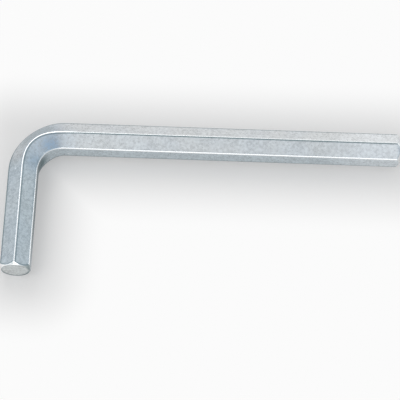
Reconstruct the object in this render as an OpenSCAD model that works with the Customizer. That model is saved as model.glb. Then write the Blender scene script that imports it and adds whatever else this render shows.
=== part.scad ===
// Key for hexagon socket screws: one piece of drawn hexagon bar, bent cold to an L and chamfered at both tips.
// It lies on a bench on one ridge of the hexagon, long arm along +X, short arm along -Y.
// The origin is on the bench, under the middle of the key's outline.

/* [Key] */
// Width across the flats of the hexagon
across_flats = 8; // [6:0.5:10]
// Long arm, from its tip to the outside of the bend
long_arm = 108; // [70:1:200]
// Short arm, from its tip to the outside of the bend
short_arm = 44; // [36:1:90]
// Radius of the bar's six ridges
ridge_radius = 0.5; // [0.2:0.05:1]

/* [Bend] */
// Radius of the inner flat round the bend
bend_radius = 7; // [5:0.5:14]
// How far the top and bottom ridges creep outwards, halfway round the bend
ridge_creep = 0.95; // [0:0.05:1.2]
// Width that the outer flat loses to the stretch, halfway round the bend
outer_pinch = 1.1; // [0:0.05:1.5]
// Width that the inner flat gains from the squeeze, halfway round the bend
inner_swell = 1.5; // [0:0.05:2]

/* [Tips] */
// Depth that the chamfer cuts into a ridge
chamfer_depth = 0.75; // [0.3:0.05:1.5]
// Angle between the chamfer and the bar
chamfer_angle = 30; // [20:1:60]

/* [Hidden] */
$fn = 96;

// Facets across one rounded ridge, and steps round the bend
ridge_facets = 6;
bend_steps = 36;

// From the bar's axis to a flat, to a sharp corner and to the top of a rounded ridge
half_flats = across_flats / 2;
corner_reach = half_flats / cos(30);
ridge_reach = corner_reach - ridge_radius * (1 / cos(30) - 1);

// The bar's axis round the bend
axis_radius = bend_radius + half_flats;

// The end face of a tip, and the length of the cone that chamfers it, from there to clear of the bar
tip_radius = ridge_reach - chamfer_depth;
cone_length = (corner_reach - tip_radius) / tan(chamfer_angle);

function unit(v) = v / norm(v);

// Sharp corners of the section as [outwards, upwards], clockwise from the top.
// work is 0 on the straight bar and 1 halfway round the bend.
function corners(work) = [
    for (k = [0:5])
        let (up = corner_reach * cos(60 * k))
        k % 3 == 0 ? [ridge_creep * work, up]
        : k < 3 ? [half_flats, up - sign(up) * outer_pinch / 2 * work]
        : [-half_flats, up + sign(up) * inner_swell / 2 * work]
];

// Outline of the section, with each ridge rounded
function outline(work) =
    let (sharp = corners(work))
    [for (k = [0:5])
        let (
            back = unit(sharp[(k + 5) % 6] - sharp[k]),
            ahead = unit(sharp[(k + 1) % 6] - sharp[k]),
            inward = unit(back + ahead),
            half_angle = acos(back * ahead) / 2,
            centre = sharp[k] + inward * ridge_radius / sin(half_angle),
            facing = atan2(-inward[0], -inward[1])
        )
        for (i = [0:ridge_facets])
            let (turn = facing + (90 - half_angle) * (2 * i / ridge_facets - 1))
            centre + ridge_radius * [sin(turn), cos(turn)]];

// A point of the section, carried round the bend from the short arm at 0 to the long arm at 90 degrees
function carried(point, angle) = [
    axis_radius - (axis_radius + point[0]) * cos(angle),
    (axis_radius + point[0]) * sin(angle) - axis_radius,
    point[1]
];

// One straight arm along +X, from the end of the bend to its chamfered tip
module arm(overall) {
    run = overall - half_flats - axis_radius;
    translate([axis_radius, 0, 0])
        rotate([90, 0, 90])
            intersection() {
                linear_extrude(run) polygon(outline(0));
                union() {
                    cylinder(h = run - cone_length, r = corner_reach);
                    translate([0, 0, run - cone_length])
                        cylinder(h = cone_length, r1 = corner_reach, r2 = tip_radius);
                }
            }
}

// The bend: the section is carried round, its outer flat stretched narrow and its inner flat squeezed wide
module bend() {
    rings = [
        for (step = [0:bend_steps])
            let (angle = 90 * step / bend_steps, work = pow(sin(2 * angle), 2))
            [for (point = outline(work)) carried(point, angle)]
    ];
    count = len(rings[0]);
    walls = [
        for (step = [0:bend_steps - 1], i = [0:count - 1])
            let (
                a = step * count + i,
                b = step * count + (i + 1) % count
            )
            each [[a, b, b + count], [a, b + count, a + count]]
    ];
    start_face = [for (i = [count - 1:-1:0]) i];
    end_face = [for (i = [0:count - 1]) bend_steps * count + i];
    polyhedron(points = [for (ring = rings) each ring], faces = concat([start_face, end_face], walls));
}

module hex_key() {
    color("silver")
        translate([half_flats - long_arm / 2, short_arm / 2 - half_flats, ridge_reach])
            union() {
                arm(long_arm);
                mirror([1, 1, 0]) arm(short_arm);
                bend();
            }
}

hex_key();
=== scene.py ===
"""The looks of a key for hexagon socket screws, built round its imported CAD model.

The key is one piece of drawn hexagon bar, bent cold to an L, chamfered at both tips and plated. Here it is
modelled again as one mesh, in metres and in the CAD model's place, because the plating needs smooth rounded
ridges, softly worn rims at the tips, and a map that follows the bar round its bend.
"""

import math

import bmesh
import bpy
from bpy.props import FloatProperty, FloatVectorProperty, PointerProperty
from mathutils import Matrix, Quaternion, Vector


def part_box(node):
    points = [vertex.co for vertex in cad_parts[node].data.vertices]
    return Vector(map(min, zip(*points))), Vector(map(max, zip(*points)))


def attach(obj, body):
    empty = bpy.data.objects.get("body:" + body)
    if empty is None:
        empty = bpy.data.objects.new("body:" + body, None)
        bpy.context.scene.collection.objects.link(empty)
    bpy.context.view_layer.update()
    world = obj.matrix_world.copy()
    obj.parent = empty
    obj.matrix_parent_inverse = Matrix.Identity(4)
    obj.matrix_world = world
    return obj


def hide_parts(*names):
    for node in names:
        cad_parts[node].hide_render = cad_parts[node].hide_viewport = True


bl_info = {
    "name": "Hex Key",
    "version": (1, 1, 0),
    "blender": (4, 5, 0),
    "location": "3D View > Sidebar > Hex Key",
    "description": "Models a plated hex key and the pale studio it lies in",
    "category": "Add Mesh",
}

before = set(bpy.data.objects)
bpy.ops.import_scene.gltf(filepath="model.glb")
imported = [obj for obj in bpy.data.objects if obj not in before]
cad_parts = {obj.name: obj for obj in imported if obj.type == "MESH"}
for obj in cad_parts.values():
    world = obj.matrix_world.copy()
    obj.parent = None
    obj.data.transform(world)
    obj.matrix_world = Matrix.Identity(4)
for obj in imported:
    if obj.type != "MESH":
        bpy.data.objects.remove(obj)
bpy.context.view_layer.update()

KEY_LOW, KEY_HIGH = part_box("hex_key")

MM = 0.001
# How near to each other two places count as one
HAIR = 0.002 * MM

# Sides of the bar, steps round the bend, and the number of pieces that a ridge, a flat's end and a worn rim
# are divided into
SIDES = 6
BEND_STEPS = 36
RIDGE_STEPS = 6
FLAT_STEPS = 24
RIM_STEPS = 3

# Edges that turn further than this are ridges, and stay sharp where the bar is shaded smooth
RIDGE_ANGLE = math.radians(25)
# A face of a tip is part of the end face, or else of the chamfer, if it faces outwards by more than this
END_FACE_LEAN = math.cos(math.radians(20))
CHAMFER_LEAN = math.sin(math.radians(2))

WHITE = (1.0, 1.0, 1.0)
FLOOR_SIZE = 12.0
LAMP_DISTANCE = 1.2


class HexKeySizes(bpy.types.PropertyGroup):
    """Sizes of the key. The lengths of its arms come from the CAD model."""

    across_flats: FloatProperty(
        name="Across flats", description="Width of the bar across two opposite flats",
        default=8.0 * MM, min=6.0 * MM, max=10.0 * MM, precision=5, unit="LENGTH")
    ridge_radius: FloatProperty(
        name="Ridge radius", description="Radius of the bar's six ridges",
        default=0.5 * MM, min=0.2 * MM, max=1.0 * MM, precision=5, unit="LENGTH")
    bend_radius: FloatProperty(
        name="Bend radius", description="Radius of the inner flat round the bend",
        default=7.0 * MM, min=5.0 * MM, max=14.0 * MM, precision=5, unit="LENGTH")
    ridge_creep: FloatProperty(
        name="Ridge creep", description="How far the top and bottom ridges move out, halfway round the bend",
        default=0.95 * MM, min=0.0, max=1.2 * MM, precision=5, unit="LENGTH")
    outer_pinch: FloatProperty(
        name="Outer pinch", description="Width that the outer flat loses, halfway round the bend",
        default=1.1 * MM, min=0.0, max=1.5 * MM, precision=5, unit="LENGTH")
    inner_swell: FloatProperty(
        name="Inner swell", description="Width that the inner flat gains, halfway round the bend",
        default=1.5 * MM, min=0.0, max=2.0 * MM, precision=5, unit="LENGTH")
    chamfer_depth: FloatProperty(
        name="Chamfer depth", description="How deep the chamfer cuts into a ridge at the tip",
        default=0.70 * MM, min=0.3 * MM, max=1.5 * MM, precision=5, unit="LENGTH")
    chamfer_angle: FloatProperty(
        name="Chamfer angle", description="Angle between the chamfer and the bar",
        default=math.radians(42), min=math.radians(20), max=math.radians(60), subtype="ANGLE")
    rim_softness: FloatProperty(
        name="Rim softness", description="Width of the worn strip on each side of a chamfer's edge",
        default=0.06 * MM, min=0.01 * MM, max=0.2 * MM, precision=5, unit="LENGTH")


class HexKeyFinish(bpy.types.PropertyGroup):
    """Colours and grain of the plating and of the turned tips, with the colours of the painted highlights,
    shade and reflections.
    """

    plating: FloatVectorProperty(
        name="Plating", description="Colour of the satin plating on the flats",
        default=(0.62, 0.65, 0.67), min=0.0, max=1.0, size=3, subtype="COLOR")
    # Painted reflection: the colour of the bluish, darker patches round the bend
    cool_reflection: FloatVectorProperty(
        name="Cool plating", description="Colour where the plating turns bluish",
        default=(0.33, 0.44, 0.57), min=0.0, max=1.0, size=3, subtype="COLOR")
    warm_plating: FloatVectorProperty(
        name="Warm plating", description="Colour where the plating turns a little warm",
        default=(0.66, 0.66, 0.64), min=0.0, max=1.0, size=3, subtype="COLOR")
    # Painted reflection: the bluer colour of the side flat inside the bend
    flank_reflection: FloatVectorProperty(
        name="Flank plating", description="Colour of the side flat inside the bend, which saw little light",
        default=(0.595, 0.665, 0.705), min=0.0, max=1.0, size=3, subtype="COLOR")
    # Painted highlight: the colour of the bright lines along the ridges, also used for the nicks and the
    # paler stretch at the long tip
    highlight_and_nicks: FloatVectorProperty(
        name="Burnish", description="Colour of the ridges, which are rubbed bright",
        default=(0.94, 0.96, 0.98), min=0.0, max=1.0, size=3, subtype="COLOR")
    # Painted shade: the colour of the dark lines along ridges and rims, of the darker stretches round the
    # bend and on the chamfers, and of the small pit
    shade_and_pit: FloatVectorProperty(
        name="Tarnish", description="Colour of the dull line that runs along each ridge and rim",
        default=(0.10, 0.17, 0.19), min=0.0, max=1.0, size=3, subtype="COLOR")
    chamfer: FloatVectorProperty(
        name="Chamfer", description="Colour of the turned chamfers",
        default=(0.90, 0.91, 0.91), min=0.0, max=1.0, size=3, subtype="COLOR")
    end_face: FloatVectorProperty(
        name="End face", description="Colour of the cut end faces",
        default=(0.70, 0.74, 0.745), min=0.0, max=1.0, size=3, subtype="COLOR")
    grain_size: FloatProperty(
        name="Grain size", description="Width of one cloud of the pearly grain",
        default=0.75 * MM, min=0.1 * MM, max=5.0 * MM, precision=5, unit="LENGTH")
    roughness: FloatProperty(
        name="Roughness", description="Roughness of the flats",
        default=0.30, min=0.05, max=1.0, subtype="FACTOR")


class HexKeyStudio(bpy.types.PropertyGroup):
    """The camera's place, the floor and the light."""

    azimuth: FloatProperty(
        name="Azimuth", description="Camera's turn round the key, from in front towards its right",
        default=math.radians(2.21), subtype="ANGLE")
    elevation: FloatProperty(
        name="Elevation", description="Camera's height above the horizon",
        default=math.radians(65.42), subtype="ANGLE")
    distance: FloatProperty(
        name="Distance", description="From the camera to the point that it looks at",
        default=0.520, min=0.1, unit="LENGTH")
    lens: FloatProperty(
        name="Lens", description="Focal length of the camera, in millimetres",
        default=170.1, min=20.0, max=400.0)
    aim: FloatVectorProperty(
        name="Aim", description="Point at the middle of the picture",
        default=(-0.83 * MM, 0.82 * MM, 4.54 * MM), size=3, subtype="TRANSLATION", precision=5)
    floor_colour: FloatVectorProperty(
        name="Floor", description="Colour of the floor",
        default=(0.84, 0.84, 0.84), min=0.0, max=1.0, size=3, subtype="COLOR")
    near_glow: FloatProperty(
        name="Glow beside the key", description="Share of plain white in the floor right beside the key",
        default=0.25, min=0.0, max=1.0, subtype="FACTOR")
    far_glow: FloatProperty(
        name="Glow far off", description="Share of plain white in the floor where the key's shadow has faded",
        default=0.9, min=0.0, max=1.0, subtype="FACTOR")
    glow_reach: FloatProperty(
        name="Glow reach", description="From the key to where the floor has all of its glow",
        default=20.0 * MM, min=1.0 * MM, max=500.0 * MM, precision=5, unit="LENGTH")
    ambient: FloatProperty(
        name="Ambient light", description="Strength of the even light that fills the shadows",
        default=0.58, min=0.0, max=1.0, subtype="FACTOR")
    left_light: FloatVectorProperty(
        name="Left light", description="Colour of the light tent's left side",
        default=(0.65, 0.73, 0.79), min=0.0, max=1.0, size=3, subtype="COLOR")
    right_light: FloatVectorProperty(
        name="Right light", description="Colour of the light tent's right side",
        default=(0.62, 0.71, 0.77), min=0.0, max=1.0, size=3, subtype="COLOR")


class Shape:
    """The key's sizes worked out: the bar's section, the places of both tips and the centre of the bend."""

    def __init__(self, sizes):
        self.sizes = sizes
        self.half_flats = sizes.across_flats / 2
        self.corner_reach = self.half_flats / math.cos(math.pi / SIDES)
        self.ridge_reach = self.corner_reach - sizes.ridge_radius * (1 / math.cos(math.pi / SIDES) - 1)
        self.axis_radius = sizes.bend_radius + self.half_flats
        self.axis_z = (KEY_LOW.z + KEY_HIGH.z) / 2
        self.crossing = Vector((KEY_LOW.x + self.half_flats, KEY_HIGH.y - self.half_flats, self.axis_z))
        self.bend_centre = self.crossing + Vector((self.axis_radius, -self.axis_radius, 0))
        self.short_tip = Tip(Vector((self.crossing.x, KEY_LOW.y, self.axis_z)), (0, -1, 0), self)
        self.long_tip = Tip(Vector((KEY_HIGH.x, self.crossing.y, self.axis_z)), (1, 0, 0), self)
        self.short_straight = self.bend_centre.y - self.short_tip.place.y
        self.long_straight = self.long_tip.place.x - self.bend_centre.x
        self.long_arm_start = self.short_straight + self.axis_radius * math.pi / 2

    def turn_of(self, place):
        """How far round the bend a place lies, from 0 at the short arm to a quarter turn at the long one."""
        out = place - self.bend_centre
        return math.atan2(out.y, -out.x)

    def corners(self, work):
        """The section's corners as (outwards, upwards), clockwise from the top. Work is from 0 to 1."""
        places = []
        for side in range(SIDES):
            up = self.corner_reach * math.cos(side * math.tau / SIDES)
            if side % 3 == 0:
                corner = (self.sizes.ridge_creep * work, up)
            elif side < 3:
                corner = (self.half_flats, up - math.copysign(self.sizes.outer_pinch / 2 * work, up))
            else:
                corner = (-self.half_flats, up + math.copysign(self.sizes.inner_swell / 2 * work, up))
            places.append(Vector(corner))
        return places

    def along_and_across(self, place):
        """A place's distance from the short tip, the bend's work there, and its (outwards, upwards)."""
        if place.x > self.bend_centre.x:
            along = self.long_arm_start + place.x - self.bend_centre.x
            return along, 0.0, Vector((place.y - self.crossing.y, place.z - self.axis_z))
        if place.y < self.bend_centre.y:
            along = place.y - self.short_tip.place.y
            return along, 0.0, Vector((self.crossing.x - place.x, place.z - self.axis_z))
        turn = min(max(self.turn_of(place), 0.0), math.pi / 2)
        outwards = (place - self.bend_centre).to_2d().length - self.axis_radius
        along = self.short_straight + self.axis_radius * turn
        return along, work_at(turn), Vector((outwards, place.z - self.axis_z))

    def along_and_round(self, place):
        """A place as its distance along the bar, and round it in sides: a whole number on every ridge."""
        along, work, across = self.along_and_across(place)
        corners = self.corners(work)
        nearest, best_gap = 0.0, math.inf
        for side in range(SIDES):
            start, end = corners[side], corners[(side + 1) % SIDES]
            edge = end - start
            share = min(max((across - start).dot(edge) / edge.length_squared, 0.0), 1.0)
            gap = (across - start - edge * share).length
            if gap < best_gap:
                nearest, best_gap = side + share, gap
        return along, nearest


class Tip:
    """One tip of the bar: its place, the way it points, and the cone that its chamfer is turned to."""

    def __init__(self, place, outwards, shape):
        self.place, self.outwards = place, Vector(outwards)
        self.across = Vector([1 - abs(part) for part in outwards])
        self.radius = shape.ridge_reach - shape.sizes.chamfer_depth
        self.slope = math.tan(shape.sizes.chamfer_angle)
        self.chamfer_run = shape.sizes.chamfer_depth / self.slope

    def depth(self, place):
        """How far a place lies behind the end face."""
        return (self.place - place).dot(self.outwards)

    def reach(self, place):
        """How far a place lies from the bar's axis."""
        return (self.across * (place - self.place)).length

    def cone_depth(self, reach):
        """How far behind the end face the chamfer starts, on a line this far from the bar's axis."""
        return (reach - self.radius) / self.slope


def work_at(turn):
    """The bend's work on the section: none at both ends of the bend and all of it halfway round."""
    return math.sin(2 * turn) ** 2


def start_clean():
    """Leaves edit mode and deselects everything, so that the next operator acts on its own piece only."""
    if bpy.context.mode != "OBJECT":
        bpy.ops.object.mode_set(mode="OBJECT")
    bpy.ops.object.select_all(action="DESELECT")


def take(piece):
    """Makes one piece the only one selected, and the active one."""
    start_clean()
    piece.select_set(True)
    bpy.context.view_layer.objects.active = piece


def select_points(piece, wanted):
    """In edit mode, selects just the points whose place passes the test. Returns how many they are."""
    mesh = bmesh.from_edit_mesh(piece.data)
    mesh.select_mode = {"VERT"}
    bpy.context.tool_settings.mesh_select_mode = (True, False, False)
    count = 0
    for point in mesh.verts:
        point.select = wanted(point.co)
        count += point.select
    mesh.select_flush_mode()
    bmesh.update_edit_mesh(piece.data)
    return count


def select_edges(piece, wanted):
    """In edit mode, selects just the edges that pass the test. Returns how many they are."""
    bpy.ops.mesh.select_mode(type="EDGE")
    bpy.ops.mesh.select_all(action="DESELECT")
    mesh = bmesh.from_edit_mesh(piece.data)
    chosen = [edge for edge in mesh.edges if wanted(edge)]
    for edge in chosen:
        edge.select = True
    mesh.select_flush_mode()
    bmesh.update_edit_mesh(piece.data)
    return len(chosen)


def extrude(way):
    """Extrudes what is selected by a vector."""
    bpy.ops.mesh.extrude_region_move(TRANSFORM_OT_translate={"value": way})


def bevel(width, steps):
    """Rounds the selected edges."""
    bpy.ops.mesh.bevel(offset_type="OFFSET", offset=width, segments=steps, profile=0.5, affect="EDGES")


def draw_bar(shape):
    """A ring of six corners, extruded up the short arm, spun round the bend and extruded along the long arm.

    Both ends stay open, two lengths of a chamfer behind their tips.
    """
    short, long = shape.short_tip, shape.long_tip
    start_clean()
    start = short.place - short.outwards * 2 * short.chamfer_run
    bpy.ops.mesh.primitive_circle_add(
        vertices=SIDES, radius=shape.corner_reach, location=start, rotation=(math.pi / 2, 0, 0))
    bar = bpy.context.object
    bar.name = bar.data.name = "key_bar"
    bpy.ops.object.transform_apply(location=True, rotation=True, scale=True)
    bpy.ops.object.mode_set(mode="EDIT")
    bpy.ops.mesh.select_all(action="SELECT")
    extrude((0, shape.bend_centre.y - start.y, 0))
    bpy.ops.mesh.spin(steps=BEND_STEPS, angle=math.pi / 2, center=shape.bend_centre, axis=(0, 0, 1))
    extrude((shape.long_straight - 2 * long.chamfer_run, 0, 0))
    return bar


def work_bend(bar, shape):
    """Works the section round the bend: the ridges creep out, the outer flat narrows, the inner swells."""
    sizes = shape.sizes
    middle = (0, 0, shape.axis_z)
    half_step = math.pi / 4 / BEND_STEPS
    for step in range(1, BEND_STEPS):
        turn = step * math.pi / 2 / BEND_STEPS
        outwards = Vector((-math.cos(turn), math.sin(turn), 0))

        def in_ring(place):
            return place.x < shape.bend_centre.x and abs(shape.turn_of(place) - turn) < half_step

        def offset(place):
            return (place - shape.bend_centre).dot(outwards) - shape.axis_radius

        def on_ridge(place):
            return in_ring(place) and abs(place.z - shape.axis_z) > shape.half_flats

        def on_outer_flat(place):
            return in_ring(place) and offset(place) > shape.half_flats / 2

        def on_inner_flat(place):
            return in_ring(place) and offset(place) < -shape.half_flats / 2

        for wanted, widening in ((on_outer_flat, -sizes.outer_pinch), (on_inner_flat, sizes.inner_swell)):
            if select_points(bar, wanted) != 2:
                raise RuntimeError("a flat of the bend hasn't two corners")
            spread = 1 + widening * work_at(turn) / shape.corner_reach
            bpy.ops.transform.resize(value=(1, 1, spread), center_override=middle)
        if select_points(bar, on_ridge) != 2:
            raise RuntimeError("a section of the bend hasn't two ridges")
        bpy.ops.transform.translate(value=outwards * sizes.ridge_creep * work_at(turn))


def round_ridges(bar, shape):
    """Rounds the six ridges from end to end."""
    select_edges(bar, lambda edge: edge.is_manifold and edge.calc_face_angle() > RIDGE_ANGLE)
    bevel(shape.sizes.ridge_radius * math.tan(math.pi / SIDES), RIDGE_STEPS)


def shape_tip(bar, tip, shape):
    """Carries one open end of the bar on to its tip, with a chamfer turned to a cone and a flat end face.

    The open end goes on by half the length of the chamfer, where the ends of the six flats are divided, and
    by another half. There each of its points moves to where the cone meets its line. The end then goes on
    past the tip, and each point is brought back to where the cone meets the end face.
    """
    run = tip.chamfer_run
    select_points(bar, lambda place: tip.depth(place) < 2 * run + HAIR)
    extrude(tip.outwards * run / 2)

    def is_flat_end(edge):
        on_end = all(tip.depth(point.co) < 1.5 * run + HAIR for point in edge.verts)
        return on_end and edge.calc_length() > shape.corner_reach / 2

    if select_edges(bar, is_flat_end) != SIDES:
        raise RuntimeError("the open end hasn't six flats")
    bpy.ops.mesh.subdivide(number_cuts=FLAT_STEPS - 1)
    select_points(bar, lambda place: tip.depth(place) < 1.5 * run + HAIR)
    extrude(tip.outwards * run / 2)
    mesh = bmesh.from_edit_mesh(bar.data)
    reaches = sorted({round(tip.reach(point.co), 7) for point in mesh.verts if point.select})

    for reach in reaches:
        def on_line(place):
            return abs(tip.depth(place) - run) < HAIR and abs(tip.reach(place) - reach) < HAIR / 10

        if select_points(bar, on_line):
            bpy.ops.transform.translate(value=tip.outwards * (run - tip.cone_depth(reach)))

    select_points(bar, lambda place: tip.depth(place) < 1.25 * run)
    extrude(tip.outwards * 2 * run)
    for reach in reaches:
        def beyond(place):
            return tip.depth(place) < -HAIR and abs(tip.reach(place) - reach) < HAIR / 10

        if select_points(bar, beyond):
            shrink = tip.across * (tip.radius / reach - 1)
            bpy.ops.transform.resize(value=shrink + Vector((1, 1, 1)), center_override=tip.place)
            bpy.ops.transform.translate(value=tip.outwards * (tip.cone_depth(reach) - 2 * run))

    select_points(bar, lambda place: tip.depth(place) < HAIR)
    bpy.ops.mesh.edge_face_add()


def soften_rims(bar, tip, shape):
    """Wears both edges of a tip's chamfer soft."""
    def on_chamfer_edge(place):
        return tip.depth(place) > HAIR and abs(tip.depth(place) - tip.cone_depth(tip.reach(place))) < HAIR

    def on_end_edge(place):
        return abs(tip.depth(place)) < HAIR

    for wanted in (on_chamfer_edge, on_end_edge):
        if select_points(bar, wanted) != SIDES * (RIDGE_STEPS + FLAT_STEPS):
            raise RuntimeError("the chamfer's edge isn't one whole ring")
        bevel(shape.sizes.rim_softness, RIM_STEPS)


def lay_pattern_map(bar, shape):
    """Gives the bar its own map: along it in metres, and round it in sides, a whole number on every ridge."""
    layer = bar.data.uv_layers.new(name="along_and_round")
    for face in bar.data.polygons:
        _, middle = shape.along_and_round(face.center)
        for loop in face.loop_indices:
            place = bar.data.vertices[bar.data.loops[loop].vertex_index].co
            along, side = shape.along_and_round(place)
            side += SIDES * round((middle - side) / SIDES)
            layer.data[loop].uv = (along, side)


def smooth(bar):
    """Shades the bar smooth, with flats that stay flat beside their rounded ridges."""
    take(bar)
    bpy.ops.object.shade_smooth_by_angle(angle=RIDGE_ANGLE)
    weighted = bar.modifiers.new("flat_flats", "WEIGHTED_NORMAL")
    weighted.mode = "FACE_AREA"
    weighted.weight = 50
    weighted.keep_sharp = True
    bpy.ops.object.modifier_apply(modifier=weighted.name)


def finish_faces(bar, shape, materials):
    """Gives the bar its materials: plating all over, but bright chamfers and bare end faces at the tips."""
    plating, chamfer, end_face = range(len(materials))
    bar.data.materials.clear()
    for material in materials:
        bar.data.materials.append(material)
    for face in bar.data.polygons:
        face.material_index = plating
        for tip in (shape.short_tip, shape.long_tip):
            if tip.depth(face.center) < 2 * tip.chamfer_run:
                lean = face.normal.dot(tip.outwards)
                if lean > END_FACE_LEAN:
                    face.material_index = end_face
                elif lean > CHAMFER_LEAN:
                    face.material_index = chamfer


class NodeBoard:
    """A short way to place and wire the nodes of one tree."""

    def __init__(self, tree):
        self.tree = tree
        tree.nodes.clear()

    def add(self, kind, settings=None, **inputs):
        """A node of one kind, with its settings and what goes into its inputs."""
        node = self.tree.nodes.new(kind)
        for name, value in (settings or {}).items():
            setattr(node, name, value)
        for name, value in inputs.items():
            self.put(node.inputs[name], value)
        return node

    def put(self, socket, value):
        """Feeds a socket from another socket, or sets it to a value."""
        if isinstance(value, bpy.types.NodeSocket):
            self.tree.links.new(value, socket)
        else:
            socket.default_value = value

    def math(self, operation, *values):
        node = self.tree.nodes.new("ShaderNodeMath")
        node.operation = operation
        for socket, value in zip(node.inputs, values):
            self.put(socket, value)
        return node.outputs[0]

    def vector(self, operation, *values):
        node = self.tree.nodes.new("ShaderNodeVectorMath")
        node.operation = operation
        for socket, value in zip(node.inputs, values):
            self.put(socket, value)
        return node.outputs["Value" if operation in ("LENGTH", "DOT_PRODUCT") else "Vector"]

    def ramp(self, value, low, high, to_low=0.0, to_high=1.0):
        """A smooth change from one number to another while a value goes from low to high."""
        node = self.tree.nodes.new("ShaderNodeMapRange")
        node.interpolation_type = "SMOOTHSTEP"
        for socket, number in zip(node.inputs, (value, low, high, to_low, to_high)):
            self.put(socket, number)
        return node.outputs[0]

    def fade(self, distance, full, end):
        """1 up to one distance, and 0 from another on."""
        return self.ramp(distance, full, end, 1.0, 0.0)

    def mix(self, share, first, second, blend="MIX"):
        """Two colours, mixed by a share."""
        node = self.tree.nodes.new("ShaderNodeMix")
        node.data_type = "RGBA"
        node.blend_type = blend
        self.put(node.inputs["Factor"], share)
        for socket, value in ((node.inputs[6], first), (node.inputs[7], second)):
            self.put(socket, value if isinstance(value, bpy.types.NodeSocket) else (*value, 1.0)[:4])
        return node.outputs[2]

    def noise(self, vector, size, detail=2.0, roughness=0.5):
        """Clouds of one size, mostly between 0.25 and 0.75."""
        node = self.add("ShaderNodeTexNoise", Detail=detail, Roughness=roughness)
        node.inputs["Scale"].default_value = 1 / size
        self.put(node.inputs["Vector"], vector)
        return node.outputs["Fac"]

    def place_group(self, group, **inputs):
        """A node group in this tree. Returns its outputs."""
        node = self.tree.nodes.new("ShaderNodeGroup")
        node.node_tree = group
        for name, value in inputs.items():
            self.put(node.inputs[name], value)
        return node.outputs


def new_group(name, inputs, outputs):
    """An empty shader node group. Returns its tree, its board, its inputs and its output node."""
    group = bpy.data.node_groups.new(name, "ShaderNodeTree")
    for socket, kind in inputs:
        group.interface.new_socket(name=socket, in_out="INPUT", socket_type=kind)
    for socket, kind in outputs:
        group.interface.new_socket(name=socket, in_out="OUTPUT", socket_type=kind)
    board = NodeBoard(group)
    return group, board, board.add("NodeGroupInput").outputs, board.add("NodeGroupOutput")


# The grain: how much wider its blotches are than its fine clouds, how strong they are, and the width of the
# broad clouds of colour
BLOTCH_RATIO = 4
BLOTCH_WEIGHT = 0.25
CLOUD_SIZE = 9 * MM


def pearly_grain_group(finish):
    """Fine pearly grain and broad cool or warm clouds, shared by the plating and the turned tips."""
    group, board, given, result = new_group(
        "pearly_grain", [("Place", "NodeSocketVector")],
        [("Grain", "NodeSocketFloat"), ("Clouds", "NodeSocketFloat")])
    fine = board.noise(given["Place"], finish.grain_size, detail=3.0, roughness=0.6)
    blotches = board.noise(given["Place"], BLOTCH_RATIO * finish.grain_size, detail=1.0)
    blotches = board.math("SUBTRACT", blotches, 0.5)
    board.put(result.inputs["Grain"], board.math("MULTIPLY_ADD", blotches, BLOTCH_WEIGHT, fine))
    board.put(result.inputs["Clouds"], board.noise(given["Place"], CLOUD_SIZE, detail=1.5))
    return group


def tip_cut_group(shape):
    """How far a point lies inside the cone of the nearer chamfer, in metres: 0 on the chamfer's own face."""
    group, board, given, result = new_group(
        "tip_cut", [("Place", "NodeSocketVector")], [("Gap", "NodeSocketFloat")])
    gaps = []
    for tip in (shape.short_tip, shape.long_tip):
        offset = board.vector("SUBTRACT", given["Place"], tip.place)
        reach = board.vector("LENGTH", board.vector("MULTIPLY", offset, tip.across))
        depth = board.vector("DOT_PRODUCT", offset, -tip.outwards)
        cone = board.math("MULTIPLY_ADD", depth, tip.slope, tip.radius)
        gap = board.math("MULTIPLY", board.math("SUBTRACT", cone, reach), math.cos(math.atan(tip.slope)))
        behind = board.math("SUBTRACT", depth, 3 * tip.chamfer_run)
        gaps.append(board.math("MAXIMUM", gap, behind))
    board.put(result.inputs["Gap"], board.math("MINIMUM", *gaps))
    return group


def small_mark_group():
    """A soft round or oval mark at one place of a map, with all its strength in its core."""
    group, board, given, result = new_group(
        "small_mark",
        [("Map", "NodeSocketVector"), ("Place", "NodeSocketVector"), ("Size", "NodeSocketVector"),
         ("Core", "NodeSocketFloat")],
        [("Mark", "NodeSocketFloat")])
    offset = board.vector("DIVIDE", board.vector("SUBTRACT", given["Map"], given["Place"]), given["Size"])
    board.put(result.inputs["Mark"], board.fade(board.vector("LENGTH", offset), given["Core"], 1.0))
    return group


# Bright nicks in the plating: metres along the bar from the short tip, sides round it, and both half sizes
NICKS = (
    ((28.8 * MM, 0.47), (0.40 * MM, 0.08)),
    ((47.3 * MM, 4.33), (0.40 * MM, 0.08)),
    ((37.2 * MM, 5.06), (0.35 * MM, 0.07)),
    ((128.2 * MM, 5.86), (0.35 * MM, 0.06)),
)

# Painted reflection: bluish, darker patches on the plating round the bend: centre, radius and strength
COOL_REFLECTIONS = (
    ((-43.0 * MM, 14.2 * MM, 7.4 * MM), 6.0 * MM, 1.0),
    ((-43.4 * MM, 14.2 * MM, 7.8 * MM), 11.0 * MM, 0.55),
    ((-46.4 * MM, 9.7 * MM, 7.3 * MM), 5.0 * MM, 0.55),
)

# Painted shade in broad spots on the chamfers, and a small dark pit among them: centre, radius and strength
CHAMFER_SHADE_AND_PIT = (
    ((-45.4 * MM, -21.5 * MM, 6.0 * MM), 4.0 * MM, 0.75),
    ((-50.45 * MM, -21.60 * MM, 8.68 * MM), 0.3 * MM, 0.8),
    ((53.6 * MM, 18.0 * MM, 7.0 * MM), 7.0 * MM, 0.35),
)

# Painted shade, on the map: darker stretches on the side flat inside the bend, and on the outer flat round
# it.
# Each has its middle, both half sizes and its strength.
SHADE_STRETCHES = (
    ((20.0 * MM, 4.5, 0.0), (23.0 * MM, 0.75, 1.0), 1.0),
    ((33.0 * MM, 4.5, 0.0), (6.8 * MM, 0.75, 1.0), 0.93),
    ((38.9 * MM, 0.5, 0.0), (7.0 * MM, 0.9, 1.0), 0.36),
)

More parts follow.
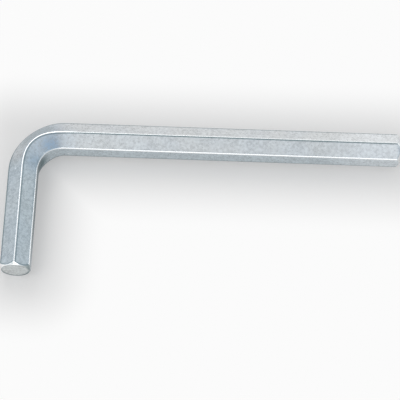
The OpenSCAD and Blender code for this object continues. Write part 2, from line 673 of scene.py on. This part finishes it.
# A paler stretch at the long tip: centre, radius and strength
PALE_PLACE = (52.0 * MM, 18.0 * MM, 4.6 * MM)
PALE_RADIUS = 22.0 * MM
PALE_STRENGTH = 0.35

# How much of a mark's radius has all its strength
SOFT_CORE = 0.0
FIRM_CORE = 0.3

# Places round the bar, in sides: the upper inner ridge, the side flat inside the bend, and the flat between
# the two ridges that carry painted highlights
INNER_RIDGE = 5.0
INNER_FLANK = 4.5
BETWEEN_HIGHLIGHTS = 5.5

# Each line along the bar is full up to one distance from its middle and ends at another, in sides of the bar
# Painted highlights along the top ridge and the upper inner ridge
TOP_HIGHLIGHT_LINE = (0.020, 0.060)
INNER_HIGHLIGHT_LINE = (0.030, 0.070)
# Painted shade lines beside the top ridge's highlight, beside every ridge, and along the ridges without a
# highlight
TOP_SHADE_LINE = (0.02, 0.06)
FLANK_SHADE_LINE = (0.07, 0.15)
EDGE_SHADE_LINE = (0.065, 0.115)
# The painted shade lines round the tips, the same way, in metres from the chamfer
RIM_SHADE_LINE = (0.06 * MM, 0.30 * MM)
END_SHADE_LINE = (0.10 * MM, 0.50 * MM)

# Strengths of the painted shade lines along every ridge, and along the ridges that have no painted highlight
FLANK_SHADE_STRENGTH = 0.10
EDGE_SHADE_STRENGTH = 0.70
# Values that change from the short arm to the long one, from a little before the end of the bend to a little
# after it: how far outside the top ridge its painted highlight runs, and the strengths of three lines
CHANGE_BEFORE, CHANGE_AFTER = 5 * MM, 7 * MM
HIGHLIGHT_OFFSETS = (0.01, 0.075)
HIGHLIGHT_BRIGHTNESS = (1.0, 0.55)
TOP_SHADE_STRENGTH = (0.55, 0.85)
RIM_SHADE_STRENGTH = (0.75, 0.10)
# How far inside the painted highlight its painted shade line runs
TOP_SHADE_OFFSET = 0.10

# Lines from the drawing: their length in metres and their width in sides
DRAW_LINE_SIZE = (14 * MM, 1 / 16, 1.0)

# The middle part of a noise's values, over which a pattern changes
SPREAD = (0.3, 0.7)
WIDE_SPREAD = (0.25, 0.75)

WARM_SHARE = 0.35
NICK_STRENGTH = 0.8
BUMP_HEIGHT = 0.02 * MM


def new_material(name):
    """An empty material, and the board of its nodes."""
    material = bpy.data.materials.new(name)
    material.use_nodes = True
    return material, NodeBoard(material.node_tree)


def finish_surface(board, **inputs):
    """Ends a material with a Principled surface of metal."""
    surface = board.add("ShaderNodeBsdfPrincipled", Metallic=1.0)
    for name, value in inputs.items():
        board.put(surface.inputs[name.replace("_", " ")], value)
    board.put(board.add("ShaderNodeOutputMaterial").inputs["Surface"], surface.outputs[0])


def shaded(board, colour, lightness):
    """A colour made lighter or darker by a number round 1."""
    grey = board.add("ShaderNodeCombineColor", Red=lightness, Green=lightness, Blue=lightness)
    return board.mix(1.0, colour, grey.outputs[0], "MULTIPLY")


def grained(board, pearl, middle, swing, spread=SPREAD):
    """A number that the pearly grain moves up and down round its middle value."""
    return board.ramp(pearl["Grain"], *spread, middle - swing, middle + swing)


def bumped(board, height, strength):
    """The normal of a surface with low bumps."""
    return board.add("ShaderNodeBump", Strength=strength, Distance=BUMP_HEIGHT, Height=height).outputs[0]


def sides_from(board, side, middle):
    """How far round the bar a point lies from a place on its map, either way round, in sides."""
    return board.math("PINGPONG", board.math("SUBTRACT", side, middle), SIDES / 2)


def soft_mark(board, groups, where, middle, half_sizes, core=FIRM_CORE):
    """One soft mark on a map."""
    return board.place_group(
        groups["small_mark"], Map=where, Place=middle, Size=half_sizes, Core=core)["Mark"]


def strongest_mark(board, groups, where, marks, core=FIRM_CORE):
    """The strongest of several soft marks. Each has its middle, its half sizes and its strength."""
    strongest = 0.0
    for middle, half_sizes, strength in marks:
        mark = soft_mark(board, groups, where, middle, half_sizes, core)
        strongest = board.math("MAXIMUM", board.math("MULTIPLY", mark, strength), strongest)
    return strongest


def ridge_masks(board, along, side, gap, shape):
    """Two masks: the painted highlights along the ridges, and the painted shade lines by ridges and tips."""
    on_long_arm = board.ramp(along, shape.long_arm_start - CHANGE_BEFORE, shape.long_arm_start + CHANGE_AFTER)

    def changing(on_short, on_long):
        return board.ramp(on_long_arm, 0.0, 1.0, on_short, on_long)

    def line(middle, full, end):
        return board.fade(sides_from(board, side, middle), full, end)

    # Painted highlights: a bright line along the top ridge, weaker on the long arm, and one along the upper
    # inner ridge
    highlight_middle = changing(*HIGHLIGHT_OFFSETS)
    top_highlight = board.math("MULTIPLY", line(highlight_middle, *TOP_HIGHLIGHT_LINE), changing(*HIGHLIGHT_BRIGHTNESS))
    bright = board.math("MAXIMUM", top_highlight, line(INNER_RIDGE, *INNER_HIGHLIGHT_LINE))

    # Painted shade: dark lines beside the top ridge's highlight, beside every ridge, along the ridges without
    # a highlight, and by the chamfers
    beside_highlight = board.math("SUBTRACT", highlight_middle, TOP_SHADE_OFFSET)
    top_shade_line = board.math("MULTIPLY", line(beside_highlight, *TOP_SHADE_LINE), changing(*TOP_SHADE_STRENGTH))
    from_ridge = board.math("PINGPONG", side, 0.5)
    flank_shade_line = board.math("MULTIPLY", board.fade(from_ridge, *FLANK_SHADE_LINE), FLANK_SHADE_STRENGTH)
    edge_shade_line = board.math("MULTIPLY", board.fade(from_ridge, *EDGE_SHADE_LINE), EDGE_SHADE_STRENGTH)
    beside_highlights = line(BETWEEN_HIGHLIGHTS, 0.9, 1.1)
    edge_shade_line = board.math("MULTIPLY", edge_shade_line, board.math("SUBTRACT", 1.0, beside_highlights))
    rim_shade_line = board.math("MULTIPLY", board.fade(gap, *RIM_SHADE_LINE), changing(*RIM_SHADE_STRENGTH))
    painted_shade = board.math("MAXIMUM", board.math("MAXIMUM", top_shade_line, flank_shade_line),
                      board.math("MAXIMUM", edge_shade_line, rim_shade_line))
    return bright, painted_shade


def plating_colour(finish, board, groups, place, bar_map, side, pearl):
    """The plating without its lines: clouds, painted bluish reflections round the bend, a painted reflection
    on the flat inside the bend, painted shade stretches and grain.
    """
    warmth = board.ramp(pearl["Clouds"], *SPREAD)
    colour = board.mix(board.math("MULTIPLY", warmth, WARM_SHARE), finish.plating, finish.warm_plating)
    # Painted reflection: bluish, darker patches round the bend
    cool_patches = [(middle, (radius,) * 3, strength) for middle, radius, strength in COOL_REFLECTIONS]
    cool_patch = strongest_mark(board, groups, place, cool_patches, SOFT_CORE)
    coolness = board.math("MULTIPLY", cool_patch, board.ramp(pearl["Grain"], *SPREAD, 0.6, 1.0))
    colour = board.mix(coolness, colour, finish.cool_reflection)
    # Painted reflection: the side flat inside the bend gets a bluer colour
    on_flank = board.fade(sides_from(board, side, INNER_FLANK), 0.40, 0.50)
    colour = board.mix(on_flank, colour, finish.flank_reflection)
    pale = soft_mark(board, groups, place, PALE_PLACE, (PALE_RADIUS,) * 3)
    colour = board.mix(board.math("MULTIPLY", pale, PALE_STRENGTH), colour, finish.highlight_and_nicks)
    # Painted shade: darker stretches round the bend
    colour = board.mix(strongest_mark(board, groups, bar_map, SHADE_STRETCHES), colour, finish.shade_and_pit)
    return shaded(board, colour, grained(board, pearl, 1.0, 0.15, WIDE_SPREAD))


def plating_material(finish, shape, groups):
    """Satin plating on drawn bar: grain, clouds, draw lines, painted highlights on the ridges, painted shade
    lines and nicks.
    """
    material, board = new_material("satin_plating")
    place = board.add("ShaderNodeTexCoord").outputs["Object"]
    bar_map = board.add("ShaderNodeUVMap", {"uv_map": "along_and_round"}).outputs["UV"]
    parts = board.add("ShaderNodeSeparateXYZ")
    board.put(parts.inputs[0], bar_map)
    along, side = parts.outputs["X"], parts.outputs["Y"]
    pearl = board.place_group(groups["pearly_grain"], Place=place)
    gap = board.place_group(groups["tip_cut"], Place=place)["Gap"]
    draw_lines = board.noise(board.vector("DIVIDE", bar_map, DRAW_LINE_SIZE), 1.0, roughness=0.7)
    bright, painted_shade = ridge_masks(board, along, side, gap, shape)

    colour = plating_colour(finish, board, groups, place, bar_map, side, pearl)
    # Painted shade lines along the ridges and by the chamfers
    colour = board.mix(painted_shade, colour, finish.shade_and_pit)
    # Painted highlights along the ridges, broken up by the draw lines
    highlighted = board.math("MULTIPLY", bright, board.ramp(draw_lines, 0.2, 0.6, 0.8, 1.0))
    colour = board.mix(highlighted, colour, finish.highlight_and_nicks)
    for middle, half_sizes in NICKS:
        nick = soft_mark(board, groups, bar_map, (*middle, 0.0), (*half_sizes, 1.0))
        colour = board.mix(board.math("MULTIPLY", nick, NICK_STRENGTH), colour, finish.highlight_and_nicks)

    roughness = board.math("MULTIPLY_ADD", bright, -0.10, grained(board, pearl, finish.roughness, 0.04))
    height = board.math("MULTIPLY_ADD", draw_lines, 0.5, pearl["Grain"])
    finish_surface(board, Base_Color=colour, Roughness=roughness, Normal=bumped(board, height, 0.07))
    return material


def chamfer_material(finish, groups):
    """The turned chamfers: brighter than the plating, with painted shade in broad spots and a small dark pit.
    """
    material, board = new_material("turned_chamfer")
    place = board.add("ShaderNodeTexCoord").outputs["Object"]
    pearl = board.place_group(groups["pearly_grain"], Place=place)
    colour = shaded(board, finish.chamfer, grained(board, pearl, 1.0, 0.04, WIDE_SPREAD))
    # Painted shade in broad spots, and the small pit
    for middle, radius, strength in CHAMFER_SHADE_AND_PIT:
        spot = soft_mark(board, groups, place, middle, (radius,) * 3)
        colour = board.mix(board.math("MULTIPLY", spot, strength), colour, finish.shade_and_pit)
    roughness = grained(board, pearl, 0.27, 0.03)
    finish_surface(board, Base_Color=colour, Roughness=roughness, Normal=bumped(board, pearl["Grain"], 0.08))
    return material


def end_face_material(finish, shape, groups):
    """The cut end faces: a flat grey with soft blotches, and a painted shade line along the rim, darker
    towards the bottom.
    """
    material, board = new_material("cut_end_face")
    place = board.add("ShaderNodeTexCoord").outputs["Object"]
    pearl = board.place_group(groups["pearly_grain"], Place=place)
    gap = board.place_group(groups["tip_cut"], Place=place)["Gap"]
    warmth = board.ramp(pearl["Clouds"], *SPREAD, 0.0, 0.4)
    colour = board.mix(warmth, finish.end_face, finish.warm_plating)
    colour = shaded(board, colour, grained(board, pearl, 1.0, 0.20, WIDE_SPREAD))
    parts = board.add("ShaderNodeSeparateXYZ")
    board.put(parts.inputs[0], place)
    # Painted shade: the rim's line is darker towards the bottom
    lower_rim_shade = board.ramp(parts.outputs["Z"], shape.axis_z - 2 * MM, shape.axis_z + 1 * MM, 0.95, 0.25)
    rim_shade_line = board.math("MULTIPLY", board.fade(gap, *END_SHADE_LINE), lower_rim_shade)
    colour = board.mix(rim_shade_line, colour, finish.shade_and_pit)
    roughness = grained(board, pearl, 0.40, 0.04)
    finish_surface(board, Base_Color=colour, Roughness=roughness, Normal=bumped(board, pearl["Grain"], 0.12))
    return material


class HEXKEY_OT_make_key(bpy.types.Operator):
    """Model the key: draw the bar, bend it, round its ridges, chamfer its tips and plate it"""

    bl_idname = "hexkey.make_key"
    bl_label = "Make the key"

    def execute(self, context):
        sizes, finish = context.scene.hex_key_sizes, context.scene.hex_key_finish
        shape = Shape(sizes)
        bar = draw_bar(shape)
        work_bend(bar, shape)
        round_ridges(bar, shape)
        for tip in (shape.short_tip, shape.long_tip):
            shape_tip(bar, tip, shape)
            soften_rims(bar, tip, shape)
        bpy.ops.mesh.select_all(action="SELECT")
        bpy.ops.mesh.normals_make_consistent(inside=False)
        start_clean()
        lay_pattern_map(bar, shape)
        smooth(bar)
        groups = {
            "pearly_grain": pearly_grain_group(finish),
            "tip_cut": tip_cut_group(shape),
            "small_mark": small_mark_group(),
        }
        finish_faces(bar, shape, (
            plating_material(finish, shape, groups),
            chamfer_material(finish, groups),
            end_face_material(finish, shape, groups),
        ))
        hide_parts("hex_key")
        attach(bar, "root")
        return {"FINISHED"}


def seen_rays(board):
    """1 for rays that show a surface, straight or by reflection, and 0 for rays that light other surfaces."""
    rays = board.add("ShaderNodeLightPath")
    seen = board.math("MAXIMUM", rays.outputs["Is Camera Ray"], rays.outputs["Is Glossy Ray"])
    return board.math("MAXIMUM", seen, rays.outputs["Is Transmission Ray"])


def floor_material(studio, sizes):
    """A pale matt floor that keeps the key's shadow. Away from the key, it is seen as plain white."""
    material, board = new_material("pale_floor")
    place = board.add("ShaderNodeTexCoord").outputs["Object"]
    width = sizes.across_flats
    long_arm = (Vector((KEY_LOW.x, KEY_HIGH.y - width, 0)), Vector((KEY_HIGH.x, KEY_HIGH.y, 0)))
    short_arm = (Vector((KEY_LOW.x, KEY_LOW.y, 0)), Vector((KEY_LOW.x + width, KEY_HIGH.y, 0)))
    distances = []
    for low, high in (long_arm, short_arm):
        offset = board.vector("ABSOLUTE", board.vector("SUBTRACT", place, (low + high) / 2))
        offset = board.vector("MAXIMUM", board.vector("SUBTRACT", offset, (high - low) / 2), (0, 0, 0))
        distances.append(board.vector("LENGTH", offset))
    distance = board.math("MINIMUM", *distances)
    glow_share = board.ramp(distance, 0.0, studio.glow_reach, studio.near_glow, studio.far_glow)

    seen = seen_rays(board)
    matt = board.add("ShaderNodeBsdfDiffuse", Color=(*studio.floor_colour, 1.0))
    glow = board.add("ShaderNodeEmission", Color=(*WHITE, 1.0), Strength=1.0)
    mixed = board.add("ShaderNodeMixShader", Fac=board.math("MULTIPLY", seen, glow_share))
    board.put(mixed.inputs[1], matt.outputs[0])
    board.put(mixed.inputs[2], glow.outputs[0])
    board.put(board.add("ShaderNodeOutputMaterial").inputs["Surface"], mixed.outputs[0])
    return material


def lay_floor(studio, sizes):
    """A wide floor, level with the lowest ridge of the key."""
    start_clean()
    bpy.ops.mesh.primitive_plane_add(size=FLOOR_SIZE, location=(0, 0, KEY_LOW.z))
    floor = bpy.context.object
    floor.name = floor.data.name = "floor"
    bpy.ops.object.transform_apply(location=True, rotation=True, scale=True)
    floor.data.materials.append(floor_material(studio, sizes))


# Where the light tent's sides start, to the left and right of the key, and where its white horizon ends: each
# from one share of a direction to another, across or upwards
LEFT_SIDE = (-0.6, -0.15)
RIGHT_SIDE = (0.08, 0.5)
HORIZON = (0.06, 0.3)

# Gaps and tints of the light tent: direction, degrees to its full part and to its end, and its colour. They
# are a gap over the key, a bluish one to its right, a wide faint one, the dark right horizon and the far left
# corner.
TENT_PATCHES = (
    ((0.0, -0.34, 0.94), 5, 11, (0.50, 0.53, 0.56)),
    ((0.38, -0.47, 0.79), 4, 18, (0.66, 0.74, 0.82)),
    ((0.0, -0.58, 0.81), 10, 26, (0.92, 0.94, 0.96)),
    ((0.93, -0.37, 0.06), 15, 35, (0.42, 0.48, 0.54)),
    ((-0.48, 0.86, 0.17), 8, 32, (0.62, 0.61, 0.63)),
)


def light_world(studio):
    """A light tent: white overhead and at the horizon, cooler and dimmer at both sides, with its patches."""
    world = bpy.data.worlds.new("light_tent")
    bpy.context.scene.world = world
    world.use_nodes = True
    board = NodeBoard(world.node_tree)
    towards = board.add("ShaderNodeTexCoord").outputs["Generated"]
    direction = board.add("ShaderNodeSeparateXYZ")
    board.put(direction.inputs[0], towards)
    across, height = direction.outputs["X"], direction.outputs["Z"]
    colour = board.mix(board.fade(across, *LEFT_SIDE), WHITE, studio.left_light)
    colour = board.mix(board.ramp(across, *RIGHT_SIDE), colour, studio.right_light)
    colour = board.mix(board.ramp(board.math("ABSOLUTE", height), *HORIZON), WHITE, colour)
    for centre, full, end, tint in TENT_PATCHES:
        nearness = board.vector("DOT_PRODUCT", towards, Vector(centre).normalized())
        share = board.ramp(nearness, math.cos(math.radians(end)), math.cos(math.radians(full)))
        colour = board.mix(share, colour, tint, "MULTIPLY")
    tent = board.add("ShaderNodeBackground", Strength=1.0)
    board.put(tent.inputs["Color"], colour)
    ambient = board.add("ShaderNodeBackground", Color=(*WHITE, 1.0), Strength=studio.ambient)
    mixed = board.add("ShaderNodeMixShader", Fac=seen_rays(board))
    board.put(mixed.inputs[1], ambient.outputs[0])
    board.put(mixed.inputs[2], tent.outputs[0])
    board.put(board.add("ShaderNodeOutputWorld").inputs["Surface"], mixed.outputs[0])


# Soft lamps: direction from the key, degrees turned about their own axis, width and depth in metres, and
# the brightness of the lamp's face
LAMPS = (
    ("overhead_strip", (-0.22, 0.71, 0.67), 52, 0.85, 0.42, 1.5),
    ("front_softbox", (0.0, -0.87, 0.50), 0, 0.80, 0.32, 1.22),
    ("right_strip", (0.89, 0.41, 0.17), 0, 0.35, 0.25, 1.5),
    ("left_softbox", (-0.68, -0.29, 0.68), 0, 1.00, 1.00, 0.70),
)


def hang_lamp(name, direction, turn, width, depth, radiance):
    """A soft oblong lamp that faces the key."""
    start_clean()
    towards = Vector(direction).normalized()
    facing = towards.to_track_quat("Z", "Y") @ Quaternion((0, 0, 1), math.radians(turn))
    bpy.ops.object.light_add(type="AREA", location=towards * LAMP_DISTANCE, rotation=facing.to_euler())
    lamp = bpy.context.object
    lamp.name = lamp.data.name = name
    lamp.data.shape = "RECTANGLE"
    lamp.data.size, lamp.data.size_y = width, depth
    lamp.data.energy = radiance * math.pi * width * depth
    lamp.visible_camera = False


def place_camera(studio):
    """The camera at the photograph's viewing angle, level, with no shift."""
    start_clean()
    azimuth, elevation = studio.azimuth, studio.elevation
    back = Vector((math.sin(azimuth) * math.cos(elevation), -math.cos(azimuth) * math.cos(elevation),
                   math.sin(elevation)))
    aim = Vector(studio.aim)
    bpy.ops.object.camera_add(location=aim + back * studio.distance,
                              rotation=back.to_track_quat("Z", "Y").to_euler())
    camera = bpy.context.object
    camera.name = "camera"
    camera.data.lens = studio.lens
    camera.data.clip_start, camera.data.clip_end = 0.01, 30.0
    bpy.context.scene.camera = camera


class HEXKEY_OT_set_stage(bpy.types.Operator):
    """Lay the floor, hang the soft lamps and place the camera"""

    bl_idname = "hexkey.set_stage"
    bl_label = "Set the stage"

    def execute(self, context):
        studio = context.scene.hex_key_studio
        lay_floor(studio, context.scene.hex_key_sizes)
        light_world(studio)
        for lamp in LAMPS:
            hang_lamp(*lamp)
        place_camera(studio)
        context.scene.view_settings.view_transform = "Standard"
        return {"FINISHED"}


class HEXKEY_PT_panel(bpy.types.Panel):
    """The key's sizes, finish and stage, and the operators that make them"""

    bl_idname = "HEXKEY_PT_panel"
    bl_label = "Hex Key"
    bl_space_type = "VIEW_3D"
    bl_region_type = "UI"
    bl_category = "Hex Key"

    def draw(self, context):
        scene = context.scene
        for group, operator in (
            (scene.hex_key_sizes, None),
            (scene.hex_key_finish, "hexkey.make_key"),
            (scene.hex_key_studio, "hexkey.set_stage"),
        ):
            column = self.layout.column()
            for name in group.__annotations__:
                column.prop(group, name)
            if operator:
                column.operator(operator)


GROUPS = {
    "hex_key_sizes": HexKeySizes,
    "hex_key_finish": HexKeyFinish,
    "hex_key_studio": HexKeyStudio,
}
CLASSES = (*GROUPS.values(), HEXKEY_OT_make_key, HEXKEY_OT_set_stage, HEXKEY_PT_panel)


def register():
    for cls in CLASSES:
        bpy.utils.register_class(cls)
    for name, group in GROUPS.items():
        setattr(bpy.types.Scene, name, PointerProperty(type=group))


def unregister():
    for name in GROUPS:
        delattr(bpy.types.Scene, name)
    for cls in reversed(CLASSES):
        bpy.utils.unregister_class(cls)


def main():
    register()
    bpy.ops.hexkey.make_key()
    bpy.ops.hexkey.set_stage()


if __name__ == "__main__":
    main()
